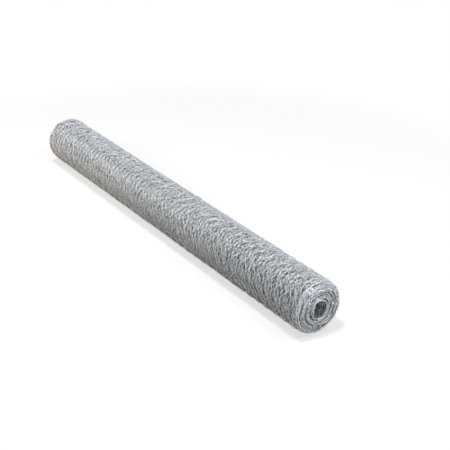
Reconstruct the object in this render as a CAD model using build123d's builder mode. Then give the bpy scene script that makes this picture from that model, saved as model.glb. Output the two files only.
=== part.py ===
"""A roll of galvanised hexagonal wire netting, lying on its side.

The netting is one long sheet of twisted wire, wound on itself with no core tube.
The roll is a turned solid with a bore, rounded shoulders and coned ends, because the
inner turns stand proud of the outer ones. A spiral gap in each end parts the netting
into the turns that show there. Both gaps follow one spiral, because the turns run
straight through the roll.
Units are millimetres. +X runs along the roll, +Z is up, and the origin is on the
floor under the middle of the roll.
"""
import os

from build123d import *

# The roll
roll_length = 900.0
roll_diameter = 100.0
bore_diameter = 30.0
shoulder_radius = 9.0
end_rise = 4.0
mouth_bevel = 1.5

# The turns that show on the ends, and the spiral gap between them
turn_pitch = 5.6
gap_width = 1.2
gap_depth = 16.0
turn_edge_bevel = 1.0
inner_turn_thickness = 3.6

roll_radius = roll_diameter / 2
bore_radius = bore_diameter / 2
half_length = roll_length / 2
axis_height = roll_radius


def gap_half_turns():
    """The half circles of the gap's middle line, as (centre, radius), from the bore outwards.

    They stand on two centres in turn, and meet smoothly on the line through both.
    """
    centre_offset = turn_pitch / 4
    half_gap = gap_width / 2
    radius = bore_radius + inner_turn_thickness + half_gap + centre_offset
    largest = roll_radius - shoulder_radius - half_gap - centre_offset
    half_turns = []
    side = -1
    while radius <= largest:
        half_turns.append((side * centre_offset, radius))
        radius += turn_pitch / 2
        side = -side
    return half_turns


def spiral_gap():
    """The face of the gap: its inner wall, its outer wall and its two ends."""
    half_turns = gap_half_turns()
    first_centre, first_radius = half_turns[0]
    last_centre, last_radius = half_turns[-1]
    last_side = 1 if last_centre > 0 else -1
    ends = (first_centre + first_radius, last_centre + last_side * last_radius)
    with BuildSketch() as gap:
        with BuildLine():
            for wall in (-gap_width / 2, gap_width / 2):
                for centre, radius in half_turns:
                    start_angle = 0 if centre < 0 else 180
                    CenterArc((centre, 0), radius + wall, start_angle, 180)
            for end in ends:
                Line((end - gap_width / 2, 0), (end + gap_width / 2, 0))
        make_face()
    return gap.sketch


gap_face = spiral_gap()

with BuildPart() as netting_roll:
    # The turned body, drawn as half its section and mirrored
    with BuildSketch(Plane.XZ) as section:
        shoulder = (half_length - end_rise, axis_height + roll_radius)
        with BuildLine():
            Polyline(
                (0, axis_height + bore_radius),
                (half_length - mouth_bevel, axis_height + bore_radius),
                (half_length, axis_height + bore_radius + mouth_bevel),
                shoulder,
                (0, axis_height + roll_radius),
                close=True,
            )
        make_face()
        fillet(section.vertices().sort_by_distance(shoulder)[0], shoulder_radius)
        mirror(about=Plane.YZ)
    revolve(axis=Axis((0, 0, axis_height), (1, 0, 0)))

    # The spiral gap in both ends, with the edges of the turns bevelled
    for outward in (-1, 1):
        end_plane = Plane((outward * half_length, 0, axis_height), x_dir=(0, 1, 0), z_dir=(1, 0, 0))
        with BuildSketch(end_plane):
            add(gap_face)
        extrude(amount=-outward * gap_depth, mode=Mode.SUBTRACT)
        gap_curves = netting_roll.edges(Select.LAST).filter_by(GeomType.LINE, reverse=True)
        rims = [curve for curve in gap_curves if abs(curve.center().X) > half_length - gap_depth / 2]
        chamfer(rims, turn_edge_bevel)

netting_roll.part.label = "netting_roll"

os.makedirs("parts", exist_ok=True)
export_step(netting_roll.part, "parts/netting_roll.step")
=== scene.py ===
import math

import bpy
import numpy as np
from mathutils import Matrix, Vector


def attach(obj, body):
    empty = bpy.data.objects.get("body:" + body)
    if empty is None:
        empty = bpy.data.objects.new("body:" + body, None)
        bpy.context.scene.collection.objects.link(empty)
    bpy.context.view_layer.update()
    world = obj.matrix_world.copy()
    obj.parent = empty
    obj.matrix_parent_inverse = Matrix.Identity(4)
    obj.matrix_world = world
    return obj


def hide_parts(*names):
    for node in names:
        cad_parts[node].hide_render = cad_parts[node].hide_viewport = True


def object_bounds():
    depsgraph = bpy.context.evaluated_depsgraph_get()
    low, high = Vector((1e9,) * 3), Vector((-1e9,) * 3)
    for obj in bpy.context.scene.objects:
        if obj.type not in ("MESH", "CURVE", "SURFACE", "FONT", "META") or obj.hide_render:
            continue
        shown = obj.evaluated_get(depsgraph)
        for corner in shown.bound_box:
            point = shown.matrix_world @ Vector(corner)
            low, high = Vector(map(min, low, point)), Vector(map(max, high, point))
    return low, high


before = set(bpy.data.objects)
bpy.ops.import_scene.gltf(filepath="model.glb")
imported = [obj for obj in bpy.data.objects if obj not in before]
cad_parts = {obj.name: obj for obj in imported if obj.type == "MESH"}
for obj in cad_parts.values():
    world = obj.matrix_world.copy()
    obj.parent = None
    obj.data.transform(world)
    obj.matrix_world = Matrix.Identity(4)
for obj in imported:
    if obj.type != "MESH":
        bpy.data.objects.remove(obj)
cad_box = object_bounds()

# Everything is in metres, in the frame of the CAD: +X along the roll, +Z up, the floor at z = 0.
MM = 0.001

# The netting: two wires twisted together, parted, and twisted with the wires on their other sides
MESH_WIDTH = 25 * MM
TWIST_LENGTH = 12.8 * MM
SLANT_LENGTH = 15.8 * MM
ROW_PITCH = TWIST_LENGTH + SLANT_LENGTH
TWIST_TURNS = 2
WIRE_RADIUS = 0.35 * MM
WIRE_COUNT = 72
HALF_WIDTH = WIRE_COUNT * MESH_WIDTH / 4
# How far a slanting wire swings from a straight line, as a share of its way across
SLANT_SWING = 0.06

# The straight wire along each of the netting's long edges
EDGE_WIRE_RADIUS = 0.4 * MM
EDGE_WIRE_STEP = 4 * MM
EDGE_WIRE_SIDES = 5

# The roll that it is wound into, from the bore outwards
AXIS_HEIGHT = 50 * MM
BORE_RADIUS = 16.6 * MM
OUTER_RADIUS = 49.2 * MM
TURN_PITCH = 0.6 * MM

# The ends: the innermost turn stands out furthest, the outermost are rounded back to a shoulder, and
# the upper side swells a little near each end
HALF_LENGTH = 449.4 * MM
END_RISE = 4 * MM
END_TILT = 1 * MM
SHOULDER_RADIUS = 9 * MM
SHOULDER_DROP = 1.2 * MM
END_SWELL = 1.5 * MM
END_SWELL_REACH = 45 * MM

# Powers that keep the steps of the turns, and the kinks of the edge, close to the ends
STEP_FADE = 8
KINK_FADE = 6

# How far twists stray from their places across and along the netting
STRAY_SEED = 6
STRAY_ACROSS = 0.5 * MM
STRAY_ALONG = 1.8 * MM

# Where the turns have parted, as (radius of the gap, half its width, half the step from the turns
# inside it out to those outside it, the angle in degrees where it is widest)
PARTINGS = (
    (20.2 * MM, 2.1 * MM, 2.0 * MM, 50),
    (20.5 * MM, 1.9 * MM, -1.5 * MM, 205),
    (25.5 * MM, 2.1 * MM, 2.5 * MM, 325),
    (27.0 * MM, 1.6 * MM, -1.5 * MM, 110),
    (30.0 * MM, 1.7 * MM, -1.5 * MM, 195),
    (32.5 * MM, 2.2 * MM, 3.5 * MM, 5),
    (35.5 * MM, 2.2 * MM, 3.5 * MM, 50),
    (37.0 * MM, 1.0 * MM, -1.0 * MM, 255),
    (40.0 * MM, 1.2 * MM, -1.5 * MM, 160),
    (41.5 * MM, 1.9 * MM, 2.5 * MM, 320),
)
# How a parting narrows towards its ends, how abruptly the turns change over from one side of it to
# the other, and how far off they crowd together to make room for it
PARTING_TAPER = 1.5
PARTING_EDGE = 0.12 * MM
PARTING_REACH = 3.2 * MM

# The pieces that the mesh is drawn in, from the bore outwards, as (name, rows that lie outside it,
# steps in a twist, steps in a slant, sides of a wire)
MESH_PIECES = (
    ("inner_turns", 265, 2, 1, 3),
    ("lower_middle_turns", 170, 2, 1, 3),
    ("upper_middle_turns", 80, 2, 1, 3),
    ("outer_turns", 42, 8, 2, 3),
    ("upper_outer_turns", 18, 8, 3, 3),
    ("last_turns", 0, 9, 4, 4),
)

# The zinc, dull in patches and bright between them, as (height of the noise, colour)
ZINC_PATCHES = ((0.36, (0.35, 0.3605, 0.371, 1)), (0.46, (0.89, 0.945, 1.0, 1)))
PATCHES_PER_METRE = 300

# The painted shade in the hollows between the wires: its colour, how far round a point the hollows are
# looked for, and the shares of open air from which a point counts as in a hollow and as out of it
HOLLOW_PAINTED_SHADE = (0.2, 0.195, 0.18, 1)
HOLLOW_REACH = 60 * MM
IN_HOLLOW = 0.08
OUT_OF_HOLLOW = 0.3

# The floor: how far it reaches each way, the white that it shows, and the colours that it sends
# back to the roll between two places along X, as (share of the way, colour)
FLOOR_REACH = 6
FLOOR_WHITE = (0.98, 0.98, 0.98, 1)
BOUNCE_START = -0.5
BOUNCE_END = 0.6
BOUNCE_COLOURS = (
    (0.1, (0.42, 0.28, 0.14, 1)),
    (0.5, (0.20, 0.12, 0.05, 1)),
    (0.85, (0.12, 0.07, 0.03, 1)),
    (0.97, (0.8, 0.83, 0.88, 1)),
)

# The veil of white over the floor where it shows: how thick it is near the roll, and how far from
# the roll's middle it begins to thicken and hides everything
NEAR_VEIL = 0.65
VEIL_START = 0.4
VEIL_END = 0.9

# The lamps, as (name, size, energy, colour, location), and the light of the white surroundings
LAMPS = (
    ("overhead", 0.5, 73, (1, 1, 1), (0.2, -0.6, 3.2)),
    ("front", 0.3, 17.5, (1, 1, 1), (1.35, 0.6, 2.05)),
    ("side", 0.3, 3.4, (1, 0.94, 0.84), (-0.35, -0.75, 0.5)),
    ("low", 0.2, 0.4, (1, 0.85, 0.65), (-0.85, -0.5, 0.15)),
    ("low_front", 0.2, 1.2, (1, 1, 1), (1.4, 0.1, 0.12)),
)
SURROUNDING_LIGHT = 0.11

# The view of the photograph, from fitting the roll's outline: the direction, the lens, and where
# in the picture and how deep behind it the middle of the near end lies
VIEW_AZIMUTH = math.radians(54.29)
VIEW_ELEVATION = math.radians(27.97)
SENSOR_MILLIMETRES = 36
FOCAL_PIXELS = 949
IMAGE_PIXELS = 450
NEAR_END_PIXEL = (319.9, 309.8)
NEAR_END_DEPTH = 1.5645
NEAREST_SEEN = 0.01

# The waves that a wander is made of: how fast the slowest and the fastest change, beside one of its
# wavelength, and how many standard deviations of their sum count as its height
SLOWEST_WAVE = 0.5
FASTEST_WAVE = 1.6
WANDER_PEAK = 1.5


def wander(seed, height, wavelength, inputs, waves=14):
    """A smooth random function of one or more inputs, which stays within about height of zero.

    It is a sum of waves in all directions, and the wavelength is in the unit of the inputs.
    """
    random = np.random.default_rng(seed)
    directions = random.normal(size=(waves, inputs))
    directions /= np.linalg.norm(directions, axis=1)[:, None]
    paces = random.uniform(SLOWEST_WAVE, FASTEST_WAVE, size=(waves, 1))
    frequencies = directions * paces * 2 * math.pi / wavelength
    phases = random.uniform(0, 2 * math.pi, size=waves)

    def value(*places):
        total = 0
        for frequency, phase in zip(frequencies, phases):
            angle = phase
            for factor, place in zip(frequency, places):
                angle = angle + factor * place
            total = total + np.sin(angle)
        return height * (total / math.sqrt(waves / 2) / WANDER_PEAK)

    return value


# How the netting lies unevenly: its columns sway along the roll, its mesh drifts round it, each turn
# ripples on the one beneath it, and the whole roll is a little lumpy
column_sway = wander(seed=1, height=0.9 * MM, wavelength=110 * MM, inputs=3)
mesh_drift = wander(seed=2, height=1.0 * MM, wavelength=60 * MM, inputs=2)
lay_ripple = wander(seed=3, height=0.3 * MM, wavelength=26 * MM, inputs=2)
roll_lumps = wander(seed=4, height=0.3 * MM, wavelength=90 * MM, inputs=3)
# How far the ends of the turns stick out, by the number of turns, and how kinked their edges are
turn_steps = wander(seed=5, height=2 * MM, wavelength=0.45, inputs=1, waves=40)
edge_kinks = wander(seed=7, height=1.5 * MM, wavelength=12 * MM, inputs=1, waves=30)


def netting_length():
    """The length of netting that fills the roll from the bore to its outside."""
    return math.pi * (OUTER_RADIUS ** 2 - BORE_RADIUS ** 2) / TURN_PITCH


def winding_angle(along):
    """The angle that the netting has turned through after so much of its length."""
    growth = TURN_PITCH / (2 * math.pi)
    return (np.sqrt(BORE_RADIUS ** 2 + 2 * growth * along) - BORE_RADIUS) / growth


def turn_end(radius, fullness, angle):
    """How far along X the turn at a radius reaches, from the middle of the roll."""
    into_shoulder = np.clip(radius - OUTER_RADIUS + SHOULDER_RADIUS, 0, SHOULDER_RADIUS)
    setback = SHOULDER_RADIUS - np.sqrt(SHOULDER_RADIUS ** 2 - into_shoulder ** 2)
    return HALF_LENGTH - END_RISE * fullness - setback + END_TILT * fullness * np.sin(angle)


def parted(radius, angle):
    """How far the partings move a point from the axis, and how far its turn sticks out for them."""
    shift = 0
    stick_out = 0
    for parting_radius, half_gap, half_step, widest in PARTINGS:
        opening = np.maximum(np.cos(angle - math.radians(widest)), 0) ** PARTING_TAPER
        distance = radius - parting_radius
        apart = opening * np.tanh(distance / PARTING_EDGE) * np.exp(-np.abs(distance) / PARTING_REACH)
        shift = shift + half_gap * apart
        stick_out = stick_out + half_step * apart
    return shift, stick_out


def wound(across, along, lift):
    """Where points of the flat netting lie in the roll.

    across runs over the netting's width from its middle, along runs down its length from
    the bore outwards, and lift is the height above its middle surface.
    """
    along = along + mesh_drift(across, along)
    angle = winding_angle(np.maximum(along, 0))
    turns = angle / (2 * math.pi)
    radius = BORE_RADIUS + TURN_PITCH * angle / (2 * math.pi)
    fullness = (radius - BORE_RADIUS) / (OUTER_RADIUS - BORE_RADIUS)
    shift, stick_out = parted(radius, angle)

    # Along the roll
    end = turn_end(radius, fullness, angle)
    x = across / HALF_WIDTH * end
    at_end = (np.abs(x) / end) ** STEP_FADE
    x = x + column_sway(x, radius * np.cos(angle), radius * np.sin(angle)) * (1 - at_end)
    steps = turn_steps(turns) * at_end + edge_kinks(along) * at_end ** KINK_FADE
    x = x + steps * np.sign(x)
    x = x + stick_out * at_end * np.sign(x)

    # Away from the axis
    from_end = end - np.abs(x)
    lumps = roll_lumps(x, radius * np.cos(angle), radius * np.sin(angle))
    drop = SHOULDER_DROP * np.clip(1 - from_end / SHOULDER_RADIUS, 0, 1) ** 2
    swell = END_SWELL * np.exp(-(from_end / END_SWELL_REACH) ** 2) * np.maximum(np.sin(angle), 0)
    rise = lay_ripple(across, along) + (lumps + swell - drop) * fullness
    radius = radius + shift + rise + lift
    height = np.maximum(AXIS_HEIGHT + radius * np.sin(angle), WIRE_RADIUS)
    return np.stack([x, radius * np.cos(angle), height], axis=-1)


def twist_strays():
    """How far each twist, by row and column, lies from its place across and along the netting."""
    random = np.random.default_rng(STRAY_SEED)
    rows = int(netting_length() / ROW_PITCH) + 2
    across = random.normal(0, STRAY_ACROSS, size=(rows, WIRE_COUNT + 1))
    across[:, [0, -1]] = 0
    along = random.normal(0, STRAY_ALONG, size=(rows, WIRE_COUNT + 1))
    return across, along


stray_across, stray_along = twist_strays()


def row_samples(twist_steps, slant_steps):
    """How far along one row each sample lies, with the part of the twist and of the slant done there."""
    twist_parts = np.linspace(0, 1, twist_steps + 1)
    slant_parts = np.linspace(0, 1, slant_steps + 1)[1:-1]
    lengths = np.concatenate([twist_parts * TWIST_LENGTH, TWIST_LENGTH + slant_parts * SLANT_LENGTH])
    twisted = np.concatenate([twist_parts, np.ones(slant_steps - 1)])
    slanted = np.concatenate([np.zeros(twist_steps + 1), slant_parts])
    return lengths, twisted, slanted


def mesh_wires(first_row, last_row, twist_steps, slant_steps):
    """The middle lines of all the mesh wires between two rows, as an array of wires by points."""
    lengths, twisted, slanted = row_samples(twist_steps, slant_steps)
    rows = np.arange(first_row, last_row)[:, None]
    wires = np.arange(WIRE_COUNT)[:, None, None]
    side = (wires + rows) % 2
    next_side = 1 - side

    def column_place(row, wire_side, turn):
        column = wires + wire_side
        at_edge = (column == 0) | (column == WIRE_COUNT)
        arm = np.where(at_edge, WIRE_RADIUS + EDGE_WIRE_RADIUS, WIRE_RADIUS)
        turned = np.where(wire_side == 0, 0, math.pi) + 2 * math.pi * TWIST_TURNS * turn
        across = column * MESH_WIDTH / 2 - HALF_WIDTH + stray_across[row, column] + arm * np.cos(turned)
        along = row * ROW_PITCH + stray_along[row, column]
        return across, along, arm * np.sin(turned)

    across_here, along_here, lift = column_place(rows, side, twisted)
    across_there, along_there, _ = column_place(rows + 1, next_side, 0)
    eased = slanted - SLANT_SWING * np.sin(2 * math.pi * slanted)
    across = across_here + (across_there - across_here) * eased
    along = along_here + lengths + (along_there - along_here - ROW_PITCH) * slanted
    points = [values.reshape(WIRE_COUNT, -1) for values in (across, along, lift)]
    last = [values[:, -1] for values in (across_there, along_there, np.zeros_like(along_there))]
    return wound(*(np.concatenate(pair, axis=1) for pair in zip(points, last)))


def tube_rings(paths, radius, sides):
    """The corners of round tubes along paths, as an array of paths by points by sides by three."""
    tangents = np.gradient(paths, axis=1)
    tangents /= np.linalg.norm(tangents, axis=2, keepdims=True)
    outward = paths * (0, 1, 1) - (0, 0, AXIS_HEIGHT)
    outward -= (outward * tangents).sum(axis=2, keepdims=True) * tangents
    outward /= np.linalg.norm(outward, axis=2, keepdims=True)
    sideways = np.cross(tangents, outward)
    angles = np.arange(sides) * 2 * math.pi / sides
    return (
        paths[:, :, None]
        + radius * np.cos(angles)[:, None] * outward[:, :, None]
        + radius * np.sin(angles)[:, None] * sideways[:, :, None]
    )


def tube_faces(count, points, sides):
    """Which corners the faces of so many tubes have, one face after another, and how many each has."""
    starts = (np.arange(count)[:, None] * points + np.arange(points - 1)) * sides
    corner = np.arange(sides)
    next_corner = (corner + 1) % sides
    quads = np.stack([corner, next_corner, next_corner + sides, corner + sides], axis=-1)
    walls = (starts[:, :, None, None] + quads).reshape(-1, 4)
    first_caps = starts[:, :1] + corner[::-1]
    last_caps = starts[:, -1:] + sides + corner
    corners = np.concatenate([walls.ravel(), first_caps.ravel(), last_caps.ravel()])
    face_sizes = np.concatenate([np.full(len(walls), 4), np.full(2 * count, sides)])
    return corners, face_sizes


def tube_mesh(name, paths, radius, sides):
    """One mesh of closed round tubes along paths, given as an array of paths by points by three."""
    count, points = paths.shape[:2]
    rings = tube_rings(paths, radius, sides)
    corners, face_sizes = tube_faces(count, points, sides)
    face_starts = np.cumsum(face_sizes) - face_sizes
    mesh = bpy.data.meshes.new(name)
    mesh.vertices.add(count * points * sides)
    mesh.vertices.foreach_set("co", rings.astype(np.float32).ravel())
    mesh.loops.add(len(corners))
    mesh.loops.foreach_set("vertex_index", corners.astype(np.int32))
    mesh.polygons.add(len(face_sizes))
    mesh.polygons.foreach_set("loop_start", face_starts.astype(np.int32))
    mesh.polygons.foreach_set("loop_total", face_sizes.astype(np.int32))
    mesh.update(calc_edges=True)
    mesh.shade_smooth()
    return mesh


def add_piece(mesh, material):
    """A piece of the netting, in place of the CAD's solid roll."""
    piece = bpy.data.objects.new(mesh.name, mesh)
    bpy.context.scene.collection.objects.link(piece)
    mesh.materials.append(material)
    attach(piece, "root")
    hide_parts("netting_roll")


def add_netting(material):
    """The mesh of the netting, drawn more finely in the outer turns, which show best."""
    row_count = int(netting_length() / ROW_PITCH)
    first_row = 0
    for name, rows_outside, twist_steps, slant_steps, sides in MESH_PIECES:
        last_row = row_count - rows_outside
        paths = mesh_wires(first_row, last_row, twist_steps, slant_steps)
        add_piece(tube_mesh(name, paths, WIRE_RADIUS, sides), material)
        first_row = last_row


def add_edge_wires(material):
    """The straight wires that the mesh is twisted round along the netting's two long edges."""
    along = np.arange(0, netting_length(), EDGE_WIRE_STEP)
    for name, across in (("near_edge_wire", HALF_WIDTH), ("far_edge_wire", -HALF_WIDTH)):
        path = wound(np.full_like(along, across), along, np.zeros_like(along))
        add_piece(tube_mesh(name, path[None], EDGE_WIRE_RADIUS, EDGE_WIRE_SIDES), material)


def mapped(nodes, links, value, start, end, low=0, high=1):
    """A socket that goes from low to high while another one goes from start to end."""
    span = nodes.new("ShaderNodeMapRange")
    span.inputs["From Min"].default_value = start
    span.inputs["From Max"].default_value = end
    span.inputs["To Min"].default_value = low
    span.inputs["To Max"].default_value = high
    links.new(value, span.inputs["Value"])
    return span.outputs["Result"]


def ramped(nodes, links, value, stops):
    """A socket with the colour that a ramp, given as stops of (place, colour), has for another socket."""
    ramp = nodes.new("ShaderNodeValToRGB")
    elements = ramp.color_ramp.elements
    for index, (position, colour) in enumerate(stops):
        if index == len(elements):
            elements.new(position)
        elements[index].position = position
        elements[index].color = colour
    links.new(value, ramp.inputs["Fac"])
    return ramp.outputs["Color"]


def combined(nodes, links, operation, first, second):
    """A socket with the result of a Math node's operation on two others."""
    maths = nodes.new("ShaderNodeMath")
    maths.operation = operation
    links.new(first, maths.inputs[0])
    links.new(second, maths.inputs[1])
    return maths.outputs["Value"]


def galvanised_wire():
    """Zinc on drawn wire: a soft metallic grey in bright and dull patches, with painted shade that darkens
    it in the hollows between the wires and low down near the floor.
    """
    material = bpy.data.materials.new("galvanised_wire")
    material.use_nodes = True
    nodes = material.node_tree.nodes
    links = material.node_tree.links
    shader = nodes["Principled BSDF"]
    shader.inputs["Metallic"].default_value = 0.3
    shader.inputs["Specular IOR Level"].default_value = 0.3
    place = nodes.new("ShaderNodeTexCoord")
    patches = nodes.new("ShaderNodeTexNoise")
    patches.inputs["Scale"].default_value = PATCHES_PER_METRE
    patches.inputs["Detail"].default_value = 6
    links.new(place.outputs["Object"], patches.inputs["Vector"])
    zinc = ramped(nodes, links, patches.outputs["Fac"], ZINC_PATCHES)
    # Painted shade: where ambient occlusion finds little open air round a point, in the hollows between the
    # wires and low down near the floor, the zinc colour is mixed towards the dark hollow colour
    openness = nodes.new("ShaderNodeAmbientOcclusion")
    openness.inputs["Distance"].default_value = HOLLOW_REACH
    openness.samples = 8
    surface = nodes.new("ShaderNodeMix")
    surface.data_type = "RGBA"
    surface.inputs["A"].default_value = HOLLOW_PAINTED_SHADE
    links.new(zinc, surface.inputs["B"])
    out_in_the_open = mapped(nodes, links, openness.outputs["AO"], IN_HOLLOW, OUT_OF_HOLLOW)
    links.new(out_in_the_open, surface.inputs["Factor"])
    links.new(surface.outputs["Result"], shader.inputs["Base Color"])
    roughness = mapped(nodes, links, patches.outputs["Fac"], 0, 1, low=0.45, high=0.25)
    links.new(roughness, shader.inputs["Roughness"])
    return material


def shown_rays(nodes, links):
    """A socket that is 1 for the rays that show the background and 0 for the rays that light things."""
    rays = nodes.new("ShaderNodeLightPath")
    shown = rays.outputs["Is Camera Ray"]
    for kind in ("Is Glossy Ray", "Is Transmission Ray"):
        shown = combined(nodes, links, "MAXIMUM", shown, rays.outputs[kind])
    return shown


def bounce_colour(nodes, links, place):
    """What the floor sends back: warm under the far end, dark beside the roll, pale before the near end."""
    along = nodes.new("ShaderNodeSeparateXYZ")
    links.new(place.outputs["Object"], along.inputs["Vector"])
    reach = mapped(nodes, links, along.outputs["X"], BOUNCE_START, BOUNCE_END)
    return ramped(nodes, links, reach, BOUNCE_COLOURS)


def floor_veil(nodes, links, place, shown):
    """How much white is laid over the floor for the rays that show it."""
    distance = nodes.new("ShaderNodeVectorMath")
    distance.operation = "LENGTH"
    links.new(place.outputs["Object"], distance.inputs[0])
    distant = mapped(nodes, links, distance.outputs["Value"], VEIL_START, VEIL_END)
    far_veil = combined(nodes, links, "MULTIPLY", shown, distant)
    rays = nodes.new("ShaderNodeLightPath")
    near_veil = mapped(nodes, links, rays.outputs["Is Camera Ray"], 0, 1, high=NEAR_VEIL)
    return combined(nodes, links, "MAXIMUM", far_veil, near_veil)


def floor_material():
    """A floor that shows as plain white with a pale shadow, and sends its own colours back to the roll."""
    material = bpy.data.materials.new("floor")
    material.use_nodes = True
    nodes = material.node_tree.nodes
    links = material.node_tree.links
    shader = nodes["Principled BSDF"]
    shader.inputs["Roughness"].default_value = 0.9
    shader.inputs["Specular IOR Level"].default_value = 0
    shown = shown_rays(nodes, links)
    place = nodes.new("ShaderNodeTexCoord")
    colour = nodes.new("ShaderNodeMix")
    colour.data_type = "RGBA"
    colour.inputs["B"].default_value = FLOOR_WHITE
    links.new(bounce_colour(nodes, links, place), colour.inputs["A"])
    links.new(shown, colour.inputs["Factor"])
    links.new(colour.outputs["Result"], shader.inputs["Base Color"])
    white = nodes.new("ShaderNodeEmission")
    veiled = nodes.new("ShaderNodeMixShader")
    links.new(floor_veil(nodes, links, place, shown), veiled.inputs["Fac"])
    links.new(shader.outputs["BSDF"], veiled.inputs[1])
    links.new(white.outputs["Emission"], veiled.inputs[2])
    links.new(veiled.outputs["Shader"], nodes["Material Output"].inputs["Surface"])
    return material


def add_floor():
    """The floor that the roll lies on."""
    mesh = bpy.data.meshes.new("floor")
    corners = [(x * FLOOR_REACH, y * FLOOR_REACH, 0) for x, y in ((-1, -1), (1, -1), (1, 1), (-1, 1))]
    mesh.from_pydata(corners, [], [(0, 1, 2, 3)])
    floor = bpy.data.objects.new("floor", mesh)
    bpy.context.scene.collection.objects.link(floor)
    mesh.materials.append(floor_material())


def add_surroundings():
    """A world that shows as plain white and gives a little even light."""
    world = bpy.data.worlds.new("studio")
    bpy.context.scene.world = world
    world.use_nodes = True
    nodes = world.node_tree.nodes
    links = world.node_tree.links
    background = nodes["Background"]
    background.inputs["Color"].default_value = (1, 1, 1, 1)
    strength = mapped(nodes, links, shown_rays(nodes, links), 0, 1, low=SURROUNDING_LIGHT)
    links.new(strength, background.inputs["Strength"])


def add_lamps():
    """Square lamps that shine on the middle of the roll, hidden from the camera."""
    middle = Vector((0, 0, AXIS_HEIGHT))
    for name, size, energy, colour, location in LAMPS:
        lamp = bpy.data.lights.new(name, "AREA")
        lamp.shape = "SQUARE"
        lamp.size = size
        lamp.energy = energy
        lamp.color = colour
        stand = bpy.data.objects.new(name, lamp)
        stand.location = location
        stand.rotation_euler = (middle - stand.location).to_track_quat("-Z", "Y").to_euler()
        stand.visible_camera = False
        bpy.context.scene.collection.objects.link(stand)


def add_camera():
    """The camera that sees the roll as the photograph does."""
    flat_right = Vector((math.cos(VIEW_AZIMUTH), math.sin(VIEW_AZIMUTH), 0))
    flat_forward = Vector((-math.sin(VIEW_AZIMUTH), math.cos(VIEW_AZIMUTH), 0))
    up = Vector((0, 0, 1))
    forward = math.cos(VIEW_ELEVATION) * flat_forward - math.sin(VIEW_ELEVATION) * up
    camera_up = math.sin(VIEW_ELEVATION) * flat_forward + math.cos(VIEW_ELEVATION) * up
    pixels_right = NEAR_END_PIXEL[0] - IMAGE_PIXELS / 2
    pixels_down = NEAR_END_PIXEL[1] - IMAGE_PIXELS / 2
    ray = forward + (pixels_right * flat_right - pixels_down * camera_up) / FOCAL_PIXELS
    near_end = Vector((cad_box[1][0], 0, AXIS_HEIGHT))
    camera = bpy.data.objects.new("camera", bpy.data.cameras.new("camera"))
    camera.matrix_world = (
        Matrix.Translation(near_end - NEAR_END_DEPTH * ray)
        @ Matrix((flat_right, camera_up, -forward)).transposed().to_4x4()
    )
    camera.data.sensor_width = SENSOR_MILLIMETRES
    camera.data.lens = FOCAL_PIXELS / IMAGE_PIXELS * SENSOR_MILLIMETRES
    camera.data.clip_start = NEAREST_SEEN
    bpy.context.scene.collection.objects.link(camera)
    bpy.context.scene.camera = camera


add_camera()
add_surroundings()
add_lamps()
add_floor()
wire_material = galvanised_wire()
add_netting(wire_material)
add_edge_wires(wire_material)
bpy.context.scene.view_settings.view_transform = "Standard"
